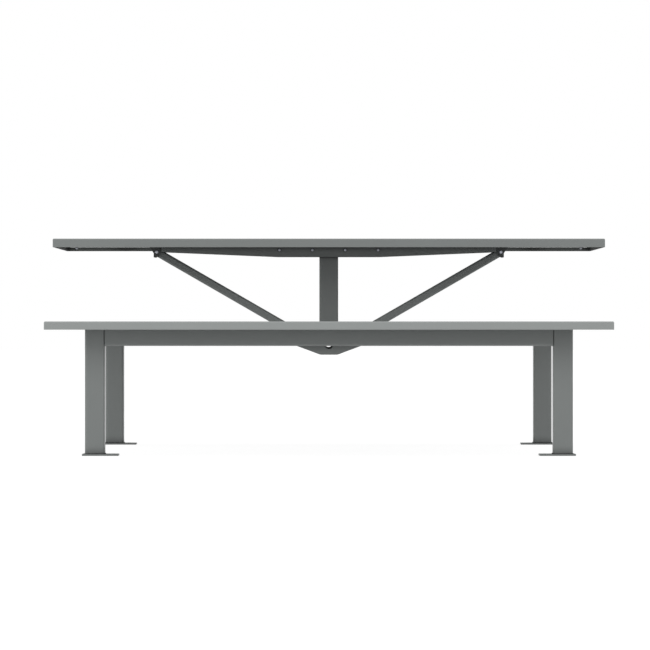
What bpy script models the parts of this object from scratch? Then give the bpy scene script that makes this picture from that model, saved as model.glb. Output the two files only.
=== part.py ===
"""Outdoor table with two attached benches, in steel sheet and tube.

Metres, +Z up. +X runs along the table, to the right for a person who faces the front bench. The front
bench lies at -Y. The origin is on the floor, under the middle of the table.
"""

import math
from collections import namedtuple

import bmesh
import bpy
from mathutils import Matrix, Vector

# Table top and seats: sheet pans with a turned-down rim, open below
TABLE_LENGTH = 1.932
TABLE_WIDTH = 0.810
TABLE_HEIGHT = 0.750
TABLE_RIM = 0.030
SEAT_LENGTH = 1.932
SEAT_WIDTH = 0.380
SEAT_HEIGHT = 0.460
SEAT_RIM = 0.028
SHEET = 0.003
PAN_INNER_BEND = 0.0015
BENCH_OFFSET = 0.680

# Tube of the legs, the post and the cross tube, which is square, and width of the beams
FRAME_TUBE = 0.0675
TUBE_WALL = 0.003
TUBE_CORNER = 0.008

# Bench frame
LEG_INSET = 0.164
BEAM_HEIGHT = 0.0752
SUPPORT_THICKNESS = 0.005
SUPPORT_DEPTH = 0.290
LEG_CAP_LENGTH = 0.085
SADDLE_LENGTH = 0.060
SADDLE_SPACING = 0.760
FOOT_LENGTH = 0.125
FOOT_DEPTH = 0.080
FOOT_THICKNESS = 0.006
FOOT_OVERHANG = 0.010
ANCHOR_HOLE = 0.014
ANCHOR_EDGE = 0.026

# Cross tube between the benches and its end plates
CROSS_TUBE_DROP = 0.0306
END_PLATE_THICKNESS = 0.006
END_PLATE_WIDTH = 0.250
END_PLATE_HEIGHT = 0.095
END_PLATE_FOOT = 0.059
END_PLATE_SLOPE = math.radians(20.5)
END_PLATE_HOLE = 0.0275
JOINT_BOLT_SPACING = 0.190

# Rail, ribs and post head under the table top
RAIL_END_GAP = 0.0365
RAIL_HEIGHT = 0.020
RAIL_STUD_EDGE = 0.024
RIB_THICKNESS = 0.005
RIB_FLANGE = 0.035
RIB_LENGTH = 1.200
RIB_FLAT_LENGTH = 0.362
RIB_MIDDLE_DEPTH = 0.0547
RIB_END_DEPTH = 0.0373
RIB_BOLT_COUNT = 4
RIB_BOLT_PITCH = 0.1177
POST_HEAD_LENGTH = 0.410
POST_HEAD_HEIGHT = 0.020
STIFFENER_WIDTH = 0.060
STIFFENER_HEIGHT = 0.012
STIFFENER_END = 0.2165

# Struts from the cross tube to the rail
STRUT_THICKNESS = 0.0286
STRUT_BOLT_SPACING = 1.234
STRUT_BOLT_DROP = 0.0170
STRUT_HEAD_REACH = 0.0095
BRACKET_WALL = 0.006
BRACKET_TOP_REACH = 0.0245
BRACKET_SIDE_REACH = 0.0108
BRACKET_INNER_REACH = 0.042
BRACKET_FLARE_DROP = 0.005
BRACKET_GRIP = 0.014
BRACKET_LIP_WIDTH = 0.0105
BRACKET_LIP_TAPER = 0.002
BRACKET_LIP_DROP = 0.018
STRUT_FOOT_DROP = 0.0021
STRUT_FOOT_THICKNESS = 0.006
STRUT_FOOT_HEIGHT = 0.054
STRUT_FOOT_MARGIN = 0.020
STRUT_FOOT_BOLT_RISE = 0.010

# Fasteners with low domed heads: shank diameter, head diameter and head height
Fastener = namedtuple("Fastener", "shank head height")
RIB_BOLT = Fastener(shank=0.006, head=0.0110, height=0.0035)
RAIL_STUD = Fastener(shank=0.008, head=0.0110, height=0.0060)
STRUT_BOLT = Fastener(shank=0.008, head=0.0145, height=0.0050)
FOOT_BOLT = Fastener(shank=0.008, head=0.0140, height=0.0050)
JOINT_BOLT = Fastener(shank=0.010, head=0.0180, height=0.0060)
THREAD_GRIP = 0.012

# Shape of a domed head, as shares of its diameter or height
HEAD_CROWN_WIDTH = 0.56
HEAD_CROWN_DROP = 0.12
HEAD_RIM_HEIGHT = 0.45

# Gap between pieces that touch, and between a bolt and its hole
CLEARANCE = 0.0003

# Flats in a quarter turn of a bent edge, and sides of a round piece
CORNER_STEPS = 3
ROUND_SIDES = 20
SHARP_ANGLE = math.radians(35)

# Length of a tool that cuts right through, as a multiple of what it cuts
THROUGH = 3

# Outside radius of a bent sheet
PAN_BEND = SHEET + PAN_INNER_BEND

# Places along the table top
RAIL_LENGTH = TABLE_LENGTH - 2 * RAIL_END_GAP
RAIL_STUD_PLACE = RAIL_LENGTH / 2 - RAIL_STUD_EDGE
STIFFENER_PLACE = TABLE_LENGTH / 2 - STIFFENER_END

# Distance between the middles of a bench's legs
LEG_SPACING = SEAT_LENGTH - 2 * LEG_INSET

# Heights and planes that follow from the sizes above
PAN_UNDERSIDE = TABLE_HEIGHT - SHEET
RAIL_TOP = PAN_UNDERSIDE - CLEARANCE
RAIL_BOTTOM = RAIL_TOP - RAIL_HEIGHT
POST_HEAD_TOP = RAIL_BOTTOM - CLEARANCE
POST_TOP = POST_HEAD_TOP - POST_HEAD_HEIGHT - CLEARANCE
RIB_BOLT_LEVEL = POST_HEAD_TOP - POST_HEAD_HEIGHT / 2
SUPPORT_TOP = SEAT_HEIGHT - SHEET - CLEARANCE
BEAM_TOP = SUPPORT_TOP - SUPPORT_THICKNESS - CLEARANCE
BEAM_BOTTOM = BEAM_TOP - BEAM_HEIGHT
BEAM_LEVEL = (BEAM_TOP + BEAM_BOTTOM) / 2
CROSS_TUBE_BOTTOM = BEAM_BOTTOM - CROSS_TUBE_DROP
CROSS_TUBE_LEVEL = CROSS_TUBE_BOTTOM + FRAME_TUBE / 2
POST_BOTTOM = CROSS_TUBE_BOTTOM + FRAME_TUBE + CLEARANCE
END_PLATE_OUTSIDE = BENCH_OFFSET - FRAME_TUBE / 2 - CLEARANCE
END_PLATE_INSIDE = END_PLATE_OUTSIDE - END_PLATE_THICKNESS
CROSS_TUBE_LENGTH = 2 * (END_PLATE_INSIDE - CLEARANCE)
RIB_INSIDE = FRAME_TUBE / 2 + CLEARANCE
RIB_OUTSIDE = RIB_INSIDE + RIB_THICKNESS
STRUT_DEPTH = FRAME_TUBE - 2 * (BRACKET_WALL + CLEARANCE)
STRUT_FOOT_PLANE = FRAME_TUBE / 2 + STRUT_FOOT_THICKNESS + CLEARANCE
BRACKET_TOP = RAIL_BOTTOM - CLEARANCE
BRACKET_SLOT_TOP = BRACKET_TOP - BRACKET_WALL

# The strut's axis runs from its foot plate to its bolt
STRUT_HEAD = Vector((STRUT_BOLT_SPACING / 2, RAIL_BOTTOM - STRUT_BOLT_DROP))
STRUT_BASE = Vector((STRUT_FOOT_PLANE + CLEARANCE, CROSS_TUBE_LEVEL - STRUT_FOOT_DROP))
STRUT_ANGLE = math.atan2(STRUT_HEAD.y - STRUT_BASE.y, STRUT_HEAD.x - STRUT_BASE.x)

SIDES = {"left": -1, "right": 1}
ENDS = {"front": -1, "rear": 1}

# Turns a shape drawn along Z so that its length runs along X or Y
ALONG_X = Matrix.Rotation(math.radians(90), 4, "Y")
ALONG_Y = Matrix.Rotation(math.radians(-90), 4, "X")
UPRIGHT = Matrix.Identity(4)


def make_material(name, colour, roughness, metallic):
    material = bpy.data.materials.new(name)
    material.use_nodes = True
    shader = material.node_tree.nodes["Principled BSDF"]
    shader.inputs["Base Color"].default_value = (*colour, 1.0)
    shader.inputs["Roughness"].default_value = roughness
    shader.inputs["Metallic"].default_value = metallic
    return material


def make_group(name, parent=None):
    group = bpy.data.objects.new(name, None)
    bpy.context.scene.collection.objects.link(group)
    group.parent = parent
    return group


def make_piece(name, mesh, material, parent, location=(0.0, 0.0, 0.0), turn=UPRIGHT):
    """One node: the bmesh as an object, turned and then moved to its place."""
    bmesh.ops.recalc_face_normals(mesh, faces=mesh.faces)
    data = bpy.data.meshes.new(name)
    mesh.to_mesh(data)
    mesh.free()
    data.materials.append(material)
    data.shade_smooth()
    data.set_sharp_from_angle(angle=SHARP_ANGLE)
    piece = bpy.data.objects.new(name, data)
    bpy.context.scene.collection.objects.link(piece)
    piece.parent = parent
    piece.matrix_local = Matrix.Translation(location) @ turn
    return piece


def cut(piece, cutter_mesh, location, turn=UPRIGHT):
    """Takes the cutter's shape, placed in the frame of the piece's parent, out of the piece."""
    name = f"{piece.name}_cut_{len(piece.modifiers) + 1}"
    cutter = make_piece(name, cutter_mesh, piece.data.materials[0], piece.parent, location, turn)
    cutter.hide_render = True
    cutter.display_type = "WIRE"
    boolean = piece.modifiers.new(name, "BOOLEAN")
    boolean.operation = "DIFFERENCE"
    boolean.solver = "EXACT"
    boolean.object = cutter


def arc(centre, radius, start, end, steps):
    """Points on an arc, both ends included. The angles are in degrees."""
    angles = [math.radians(start + (end - start) * i / steps) for i in range(steps + 1)]
    return [(centre[0] + radius * math.cos(a), centre[1] + radius * math.sin(a)) for a in angles]


def rounded_rectangle(width, height, radius):
    x = width / 2 - radius
    y = height / 2 - radius
    corners = (((x, y), 0), ((-x, y), 90), ((-x, -y), 180), ((x, -y), 270))
    outline = []
    for centre, start in corners:
        outline += arc(centre, radius, start, start + 90, CORNER_STEPS)
    return outline


def join_loops(mesh, first, second):
    for i, vertex in enumerate(first):
        after = (i + 1) % len(first)
        mesh.faces.new((vertex, first[after], second[after], second[i]))


def loft(sections):
    """Closed solid through outlines with equal numbers of 3-D points, capped at both ends."""
    mesh = bmesh.new()
    loops = [[mesh.verts.new(point) for point in section] for section in sections]
    for first, second in zip(loops, loops[1:]):
        join_loops(mesh, first, second)
    mesh.faces.new(loops[0])
    mesh.faces.new(loops[-1])
    return mesh


def prism(outline, length):
    """The outline in XY, drawn out along Z to both sides of the origin."""
    return loft([[(x, y, z) for x, y in outline] for z in (-length / 2, length / 2)])


def box(size_x, size_y, size_z):
    mesh = bmesh.new()
    bmesh.ops.create_cube(mesh, size=1.0)
    bmesh.ops.scale(mesh, vec=(size_x, size_y, size_z), verts=mesh.verts)
    return mesh


def tube(width, height, length):
    """Open rectangular tube along Z, centred on the origin."""
    outer = rounded_rectangle(width, height, TUBE_CORNER)
    inner = rounded_rectangle(width - 2 * TUBE_WALL, height - 2 * TUBE_WALL, TUBE_CORNER - TUBE_WALL)
    mesh = bmesh.new()
    ends = (-length / 2, length / 2)
    outer_loops = [[mesh.verts.new((x, y, z)) for x, y in outer] for z in ends]
    inner_loops = [[mesh.verts.new((x, y, z)) for x, y in inner] for z in ends]
    join_loops(mesh, *outer_loops)
    join_loops(mesh, *inner_loops)
    for outer_loop, inner_loop in zip(outer_loops, inner_loops):
        join_loops(mesh, outer_loop, inner_loop)
    return mesh


def channel(width, height, length):
    """Sheet channel along Z, open on its +Y side, with the middle of that side on the origin."""
    half = width / 2
    outline = [
        (-half, 0.0),
        (-half, -height),
        (half, -height),
        (half, 0.0),
        (half - SHEET, 0.0),
        (half - SHEET, SHEET - height),
        (SHEET - half, SHEET - height),
        (SHEET - half, 0.0),
    ]
    return prism(outline, length)


def turned(profile):
    """Solid of revolution round Z. The profile's (radius, height) points start and end on the axis."""
    mesh = bmesh.new()
    angles = [2 * math.pi * i / ROUND_SIDES for i in range(ROUND_SIDES)]
    first = mesh.verts.new((0.0, 0.0, profile[0][1]))
    last = mesh.verts.new((0.0, 0.0, profile[-1][1]))
    rings = [
        [mesh.verts.new((radius * math.cos(a), radius * math.sin(a), height)) for a in angles]
        for radius, height in profile[1:-1]
    ]
    for i in range(ROUND_SIDES):
        mesh.faces.new((first, rings[0][i], rings[0][(i + 1) % ROUND_SIDES]))
        mesh.faces.new((last, rings[-1][i], rings[-1][(i + 1) % ROUND_SIDES]))
    for ring, after in zip(rings, rings[1:]):
        join_loops(mesh, ring, after)
    return mesh


def cylinder(diameter, length):
    radius = diameter / 2
    end = length / 2
    return turned([(0.0, -end), (radius, -end), (radius, end), (0.0, end)])


def drill(piece, diameter, length, location, turn):
    cut(piece, cylinder(diameter + 2 * CLEARANCE, length), location, turn)


def domed_end(diameter, height, face, direction):
    """Profile of a low domed head or nut, from its crown on the axis to the face that it bears on."""
    crown = face + direction * height
    shoulder = crown - direction * height * HEAD_CROWN_DROP
    rim = face + direction * height * HEAD_RIM_HEIGHT
    radius = diameter / 2
    return [(0.0, crown), (radius * HEAD_CROWN_WIDTH, shoulder), (radius, rim), (radius, face)]


def bolt(fastener, grip):
    """Bolt and nut along Z as one piece: the two bearing faces lie half the grip from the origin."""
    shank = fastener.shank / 2
    top = domed_end(fastener.head, fastener.height, grip / 2, 1)
    bottom = domed_end(fastener.head, fastener.height, -grip / 2, -1)
    return turned([*top, (shank, grip / 2), (shank, -grip / 2), *reversed(bottom)])


def stud(fastener, length):
    """Fastener along Z with its head's bearing face on the origin and its plain end at -length."""
    shank = fastener.shank / 2
    head = domed_end(fastener.head, fastener.height, 0.0, 1)
    return turned([*head, (shank, 0.0), (shank, -length), (0.0, -length)])


def pan(name, length, width, height, rim, material, parent):
    """Sheet with its four sides turned down, its top at this height over the parent's origin."""
    mesh = box(length, width, rim)
    bmesh.ops.translate(mesh, vec=(0.0, 0.0, rim / 2), verts=mesh.verts)
    underside = min(mesh.faces, key=lambda face: face.calc_center_median().z)
    bmesh.ops.delete(mesh, geom=[underside], context="FACES_ONLY")
    bends = [edge for edge in mesh.edges if not edge.is_boundary]
    bmesh.ops.bevel(mesh, geom=bends, offset=PAN_BEND, segments=CORNER_STEPS, profile=0.5, affect="EDGES")
    piece = make_piece(name, mesh, material, parent, (0.0, 0.0, height - rim))
    thickness = piece.modifiers.new("sheet", "SOLIDIFY")
    thickness.thickness = SHEET
    thickness.offset = -1.0
    thickness.use_even_offset = True
    return piece


def build_bench(end, coat, seat_coat, bolts, whole):
    """One bench: two legs joined by a beam under a sheet seat, and the bolts to the middle frame."""
    outward = ENDS[end]
    group = make_group(f"{end}_bench", whole)
    group.location = (0.0, outward * BENCH_OFFSET, 0.0)
    pan(f"{end}_seat", SEAT_LENGTH, SEAT_WIDTH, SEAT_HEIGHT, SEAT_RIM, seat_coat, group)

    beam_length = LEG_SPACING - FRAME_TUBE - 2 * CLEARANCE
    beam_shape = tube(BEAM_HEIGHT, FRAME_TUBE, beam_length)
    beam = make_piece(f"{end}_beam", beam_shape, coat, group, (0.0, 0.0, BEAM_LEVEL), ALONG_X)
    for side, sign in SIDES.items():
        build_leg(f"{end}_{side}", sign, coat, group)
        saddle = box(SADDLE_LENGTH, SUPPORT_DEPTH, SUPPORT_THICKNESS)
        saddle_place = (sign * SADDLE_SPACING / 2, 0.0, SUPPORT_TOP - SUPPORT_THICKNESS / 2)
        make_piece(f"{end}_{side}_saddle", saddle, coat, group, saddle_place)

        head_plane = outward * (END_PLATE_INSIDE - CLEARANCE - BENCH_OFFSET)
        bolt_place = (sign * JOINT_BOLT_SPACING / 2, head_plane, BEAM_LEVEL)
        bolt_shape = stud(JOINT_BOLT, END_PLATE_THICKNESS + TUBE_WALL + THREAD_GRIP)
        toward_table = Matrix.Rotation(math.radians(90 * outward), 4, "X")
        make_piece(f"{end}_{side}_joint_bolt", bolt_shape, bolts, group, bolt_place, toward_table)
        wall_place = (bolt_place[0], -outward * FRAME_TUBE / 2, BEAM_LEVEL)
        drill(beam, JOINT_BOLT.shank, FRAME_TUBE / 2, wall_place, ALONG_Y)


def build_leg(name, sign, coat, group):
    """One leg with the cap that carries the seat and the foot plate that is anchored to the ground."""
    leg_place = sign * LEG_SPACING / 2
    leg_bottom = FOOT_THICKNESS + CLEARANCE
    leg_height = BEAM_TOP - leg_bottom
    leg = tube(FRAME_TUBE, FRAME_TUBE, leg_height)
    make_piece(f"{name}_leg", leg, coat, group, (leg_place, 0.0, leg_bottom + leg_height / 2))
    cap = box(LEG_CAP_LENGTH, SUPPORT_DEPTH, SUPPORT_THICKNESS)
    make_piece(f"{name}_leg_cap", cap, coat, group, (leg_place, 0.0, SUPPORT_TOP - SUPPORT_THICKNESS / 2))

    foot_outside = LEG_SPACING / 2 + FRAME_TUBE / 2 + FOOT_OVERHANG
    foot_place = sign * (foot_outside - FOOT_LENGTH / 2)
    foot_shape = box(FOOT_LENGTH, FOOT_DEPTH, FOOT_THICKNESS)
    foot = make_piece(f"{name}_foot_plate", foot_shape, coat, group, (foot_place, 0.0, FOOT_THICKNESS / 2))
    anchor_place = sign * (foot_outside - FOOT_LENGTH + ANCHOR_EDGE)
    anchor_hole = cylinder(ANCHOR_HOLE, THROUGH * FOOT_THICKNESS)
    cut(foot, anchor_hole, (anchor_place, 0.0, FOOT_THICKNESS / 2))


def end_plate_outline():
    """Wide behind the beam, sloping in to the cross tube's underside. Heights are from its middle."""
    low = -FRAME_TUBE / 2
    narrow = END_PLATE_FOOT / 2
    wide = END_PLATE_WIDTH / 2
    shoulder = low + (wide - narrow) * math.tan(END_PLATE_SLOPE)
    high = low + END_PLATE_HEIGHT
    return [(-narrow, low), (narrow, low), (wide, shoulder), (wide, high), (-wide, high), (-wide, shoulder)]


def build_cross_tube(coat, bolts, whole):
    """The tube from bench to bench, its end plates, and the feet of the struts on its sides."""
    group = make_group("middle_frame", whole)
    level = (0.0, 0.0, CROSS_TUBE_LEVEL)
    shape = tube(FRAME_TUBE, FRAME_TUBE, CROSS_TUBE_LENGTH)
    cross_tube = make_piece("cross_tube", shape, coat, group, level, ALONG_Y)

    upright = Matrix.Rotation(math.radians(90), 4, "X")
    for end, outward in ENDS.items():
        plane = outward * (END_PLATE_INSIDE + END_PLATE_OUTSIDE) / 2
        place = (0.0, plane, CROSS_TUBE_LEVEL)
        shape = prism(end_plate_outline(), END_PLATE_THICKNESS)
        plate = make_piece(f"{end}_end_plate", shape, coat, group, place, upright)
        cut(plate, cylinder(END_PLATE_HOLE, THROUGH * END_PLATE_THICKNESS), place, ALONG_Y)
        for sign in SIDES.values():
            hole_place = (sign * JOINT_BOLT_SPACING / 2, plane, BEAM_LEVEL)
            drill(plate, JOINT_BOLT.shank, THROUGH * END_PLATE_THICKNESS, hole_place, ALONG_Y)

    foot_depth = STRUT_DEPTH + 2 * STRUT_FOOT_MARGIN
    bolt_level = CROSS_TUBE_LEVEL + STRUT_FOOT_BOLT_RISE
    bolt_offset = (STRUT_DEPTH + STRUT_FOOT_MARGIN) / 2
    feet = []
    for side, sign in SIDES.items():
        place = (sign * (STRUT_FOOT_PLANE - STRUT_FOOT_THICKNESS / 2), 0.0, CROSS_TUBE_LEVEL)
        shape = box(STRUT_FOOT_THICKNESS, foot_depth, STRUT_FOOT_HEIGHT)
        feet.append(make_piece(f"{side}_strut_foot", shape, coat, group, place))
    for end, outward in ENDS.items():
        place = (0.0, outward * bolt_offset, bolt_level)
        shape = bolt(FOOT_BOLT, 2 * (STRUT_FOOT_PLANE + CLEARANCE))
        make_piece(f"{end}_strut_foot_bolt", shape, bolts, group, place, ALONG_X)
        for piece in (cross_tube, *feet):
            drill(piece, FOOT_BOLT.shank, THROUGH * STRUT_FOOT_PLANE, place, ALONG_X)
    return group


def strut_edge(x, offset):
    """Height, at this x, of the line that runs along the right strut at an offset from its axis."""
    along = (x - STRUT_HEAD.x) * math.tan(STRUT_ANGLE)
    return STRUT_HEAD.y + along + offset / math.cos(STRUT_ANGLE)


def strut_outline():
    """The right strut in XZ: cut upright at both ends, and level under the bracket's web."""
    half = STRUT_THICKNESS / 2
    head_end = STRUT_HEAD.x + STRUT_HEAD_REACH
    head_top = BRACKET_SLOT_TOP - CLEARANCE
    shoulder = STRUT_HEAD.x + (head_top - strut_edge(STRUT_HEAD.x, half)) / math.tan(STRUT_ANGLE)
    return [
        (STRUT_BASE.x, strut_edge(STRUT_BASE.x, -half)),
        (head_end, strut_edge(head_end, -half)),
        (head_end, head_top),
        (shoulder, head_top),
        (STRUT_BASE.x, strut_edge(STRUT_BASE.x, half)),
    ]


def bracket_outline():
    """A cheek of the right bracket in XZ: it grips the strut's head, and a lip hangs from its outer edge."""
    half = STRUT_THICKNESS / 2
    axis = Vector((math.cos(STRUT_ANGLE), math.sin(STRUT_ANGLE)))
    normal = Vector((-axis.y, axis.x))
    grip = STRUT_HEAD - BRACKET_GRIP * axis
    upper = grip + half * normal
    lower = grip - half * normal
    outside = STRUT_HEAD.x + BRACKET_SIDE_REACH
    lip_inside = outside - BRACKET_LIP_WIDTH
    lip_bottom = STRUT_HEAD.y - BRACKET_LIP_DROP
    return [
        (STRUT_HEAD.x - BRACKET_INNER_REACH, BRACKET_TOP),
        (upper.x, upper.y),
        (lower.x, lower.y),
        (lip_inside, strut_edge(lip_inside, -half)),
        (lip_inside + BRACKET_LIP_TAPER, lip_bottom),
        (outside, lip_bottom),
        (outside, STRUT_HEAD.y - BRACKET_FLARE_DROP),
        (STRUT_HEAD.x + BRACKET_TOP_REACH, BRACKET_TOP),
    ]


def facing(outline, sign):
    """An outline in XZ for the right side, moved to this side, for a prism that is turned along Y."""
    return [(sign * x, -z) for x, z in outline]


def build_struts(coat, bolts, group):
    """The two slanting tubes, each bolted into a bracket under the rail."""
    for side, sign in SIDES.items():
        strut_shape = prism(facing(strut_outline(), sign), STRUT_DEPTH)
        strut = make_piece(f"{side}_strut", strut_shape, coat, group, turn=ALONG_Y)
        middle = (STRUT_HEAD + STRUT_BASE) / 2
        bore = box(STRUT_BOLT_SPACING, STRUT_DEPTH - 2 * TUBE_WALL, STRUT_THICKNESS - 2 * TUBE_WALL)
        slant = Matrix.Rotation(-sign * STRUT_ANGLE, 4, "Y")
        cut(strut, bore, (sign * middle.x, 0.0, middle.y), slant)

        bracket_shape = prism(facing(bracket_outline(), sign), FRAME_TUBE)
        bracket = make_piece(f"{side}_strut_bracket", bracket_shape, coat, group, turn=ALONG_Y)
        slot_height = BRACKET_LIP_DROP + RAIL_HEIGHT + BRACKET_WALL
        slot = box(2 * (BRACKET_INNER_REACH + BRACKET_TOP_REACH), STRUT_DEPTH + 2 * CLEARANCE, slot_height)
        cut(bracket, slot, (sign * STRUT_HEAD.x, 0.0, BRACKET_SLOT_TOP - slot_height / 2))

        place = (sign * STRUT_HEAD.x, 0.0, STRUT_HEAD.y)
        bolt_shape = bolt(STRUT_BOLT, FRAME_TUBE + 2 * CLEARANCE)
        make_piece(f"{side}_strut_bolt", bolt_shape, bolts, group, place, ALONG_Y)
        for piece in (strut, bracket):
            drill(piece, STRUT_BOLT.shank, THROUGH * FRAME_TUBE, place, ALONG_Y)


def rib_section(x, outward, depth):
    """The rib's angle section at this x: an upright leg of this depth and a flange under the top."""
    inside = outward * RIB_INSIDE
    outside = outward * RIB_OUTSIDE
    edge = outward * (RIB_OUTSIDE + RIB_FLANGE)
    flange_bottom = RAIL_TOP - RIB_THICKNESS
    return [
        (x, inside, RAIL_TOP),
        (x, inside, RAIL_TOP - depth),
        (x, outside, RAIL_TOP - depth),
        (x, outside, flange_bottom),
        (x, edge, flange_bottom),
        (x, edge, RAIL_TOP),
    ]


def build_post(coat, bolts, group):
    """The post, and the flat tube across its top that the ribs are bolted to."""
    height = POST_TOP - POST_BOTTOM
    shape = tube(FRAME_TUBE, FRAME_TUBE, height)
    make_piece("post", shape, coat, group, (0.0, 0.0, POST_BOTTOM + height / 2))
    head_shape = tube(POST_HEAD_HEIGHT, FRAME_TUBE, POST_HEAD_LENGTH)
    head = make_piece("post_head", head_shape, coat, group, (0.0, 0.0, RIB_BOLT_LEVEL), ALONG_X)
    stations = (
        (-RIB_LENGTH / 2, RIB_END_DEPTH),
        (-RIB_FLAT_LENGTH / 2, RIB_MIDDLE_DEPTH),
        (RIB_FLAT_LENGTH / 2, RIB_MIDDLE_DEPTH),
        (RIB_LENGTH / 2, RIB_END_DEPTH),
    )
    ribs = []
    for end, outward in ENDS.items():
        sections = [rib_section(x, outward, depth) for x, depth in stations]
        ribs.append(make_piece(f"{end}_rib", loft(sections), coat, group))
    grip = 2 * (RIB_OUTSIDE + CLEARANCE)
    for number in range(RIB_BOLT_COUNT):
        place = ((number - (RIB_BOLT_COUNT - 1) / 2) * RIB_BOLT_PITCH, 0.0, RIB_BOLT_LEVEL)
        make_piece(f"rib_bolt_{number + 1}", bolt(RIB_BOLT, grip), bolts, group, place, ALONG_Y)
        for piece in (head, *ribs):
            drill(piece, RIB_BOLT.shank, THROUGH * grip, place, ALONG_Y)


def build_table(coat, bolts, whole):
    """The top, the rail along its middle with a stud near each end, and the stiffeners across the pan."""
    group = make_group("table", whole)
    pan("table_top", TABLE_LENGTH, TABLE_WIDTH, TABLE_HEIGHT, TABLE_RIM, coat, group)
    open_above = Matrix.Rotation(math.radians(90), 4, "Z") @ Matrix.Rotation(math.radians(90), 4, "X")
    rail_shape = channel(FRAME_TUBE, RAIL_HEIGHT, RAIL_LENGTH)
    rail = make_piece("spine_rail", rail_shape, coat, group, (0.0, 0.0, RAIL_TOP), open_above)
    stiffener_inside = FRAME_TUBE / 2 + CLEARANCE
    stiffener_outside = TABLE_WIDTH / 2 - PAN_BEND - CLEARANCE
    stiffener_length = stiffener_outside - stiffener_inside
    for side, sign in SIDES.items():
        stud_place = (sign * RAIL_STUD_PLACE, 0.0, RAIL_BOTTOM - CLEARANCE)
        head_down = Matrix.Rotation(math.radians(180), 4, "X")
        shape = stud(RAIL_STUD, RAIL_HEIGHT + CLEARANCE)
        make_piece(f"{side}_rail_stud", shape, bolts, group, stud_place, head_down)
        drill(rail, RAIL_STUD.shank, THROUGH * SHEET, (stud_place[0], 0.0, RAIL_BOTTOM), UPRIGHT)
        for end, outward in ENDS.items():
            shape = channel(STIFFENER_WIDTH, STIFFENER_HEIGHT, stiffener_length)
            middle = outward * (stiffener_inside + stiffener_outside) / 2
            place = (sign * STIFFENER_PLACE, middle, RAIL_TOP)
            across = Matrix.Rotation(math.radians(90), 4, "X")
            make_piece(f"{end}_{side}_stiffener", shape, coat, group, place, across)


def main():
    for thing in list(bpy.data.objects):
        bpy.data.objects.remove(thing, do_unlink=True)
    coat = make_material("grey powder coat", colour=(0.20, 0.213, 0.209), roughness=0.45, metallic=0.0)
    seat_coat = make_material("pale grey coat", colour=(0.30, 0.317, 0.312), roughness=0.45, metallic=0.0)
    bolts = make_material("stainless steel", colour=(0.62, 0.63, 0.66), roughness=0.25, metallic=1.0)
    whole = make_group("table_with_benches")
    build_table(coat, bolts, whole)
    middle = build_cross_tube(coat, bolts, whole)
    build_post(coat, bolts, middle)
    build_struts(coat, bolts, middle)
    for end in ENDS:
        build_bench(end, coat, seat_coat, bolts, whole)
    bpy.context.view_layer.update()


main()
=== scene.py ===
"""Outdoor steel table with two attached benches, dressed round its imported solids.

Metres, +Z up. +X runs along the table, and the front bench lies at -Y.
"""

import math
import random

import bmesh
import bpy
from mathutils import Matrix, Vector


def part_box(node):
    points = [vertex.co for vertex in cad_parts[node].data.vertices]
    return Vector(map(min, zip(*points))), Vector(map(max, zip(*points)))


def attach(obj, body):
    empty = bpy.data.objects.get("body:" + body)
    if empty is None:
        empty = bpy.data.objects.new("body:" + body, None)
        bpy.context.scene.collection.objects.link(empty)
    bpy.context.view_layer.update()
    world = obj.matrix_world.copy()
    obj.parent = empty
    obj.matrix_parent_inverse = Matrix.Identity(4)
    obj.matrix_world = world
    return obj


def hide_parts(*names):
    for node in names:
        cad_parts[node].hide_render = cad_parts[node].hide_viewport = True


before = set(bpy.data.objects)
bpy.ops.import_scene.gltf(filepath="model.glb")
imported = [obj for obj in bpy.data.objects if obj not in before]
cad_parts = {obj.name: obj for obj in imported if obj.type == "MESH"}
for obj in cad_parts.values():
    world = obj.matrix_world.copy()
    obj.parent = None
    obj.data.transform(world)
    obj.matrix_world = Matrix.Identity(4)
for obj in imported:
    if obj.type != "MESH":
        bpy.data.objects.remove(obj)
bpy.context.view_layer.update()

bl_info = {
    "name": "Table with attached benches",
    "version": (1, 0, 0),
    "blender": (4, 5, 0),
    "location": "3D View > Sidebar > Table",
    "description": "Makes the sheet, tube, welds and bolts of a steel table with two benches",
    "category": "Object",
}

X, Y, Z = 0, 1, 2
AXES = (Vector((1, 0, 0)), Vector((0, 1, 0)), Vector((0, 0, 1)))
ENDS = ("front", "rear")
SIDES = ("left", "right")
CORNERS = [f"{end}_{side}" for end in ENDS for side in SIDES]
RIB_BOLTS = [f"rib_bolt_{number}" for number in range(1, 5)]
QUARTER = math.radians(90)
HALF_TURN = Matrix.Rotation(math.pi, 4, "Z")

# Cosines from which a face counts as facing an axis, and an edge as running along it
FACING = 0.9
ALONG = 0.999
# Faces that meet at less than the first angle are shaded as one, and edges past the second are softened
SMOOTH_ANGLE = math.radians(32)
SHARP_ANGLE = math.radians(40)
# Faces narrower than this are edges, where the coat lies thin
NARROW_FACE = 0.004
# Corners of a mesh that differ less than this are at the same height
SAME_HEIGHT = 1e-6
# Faces across a bent edge, a softened edge, and the rounded edge of a fastener
BEND_STEPS = 6
SOFT_STEPS = 2
DOME_STEPS = 5
# Sides of a round bar and of a six-sided one
ROUND_SIDES = 32
HEX_SIDES = 6
# How far a drill reaches to each side of its middle: through a sheet, a near wall, a plate, a whole tube or
# fold, and from the middle of a tube to the plate on its side
SHEET_REACH = 0.006
WALL_REACH = 0.03
PLATE_REACH = 0.05
TUBE_REACH = 0.06
SIDE_REACH = 0.08
# How far other cutters stand out of what they cut
CUT_CLEARANCE = 0.01
# Length of a strut before its ends are cut to shape, as a share of its finished length
UNCUT_LENGTH = 1.2

# Strength of the painted shade in the corners of a piece, where ambient occlusion finds them
FAINT_SHADE = 0.2
OPEN_SHADE = 0.5
GROUND_SHADE = 1.5
SHELTERED_SHADE = 2.4
DEEP_FOOT_SHADE = 8.0
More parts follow.
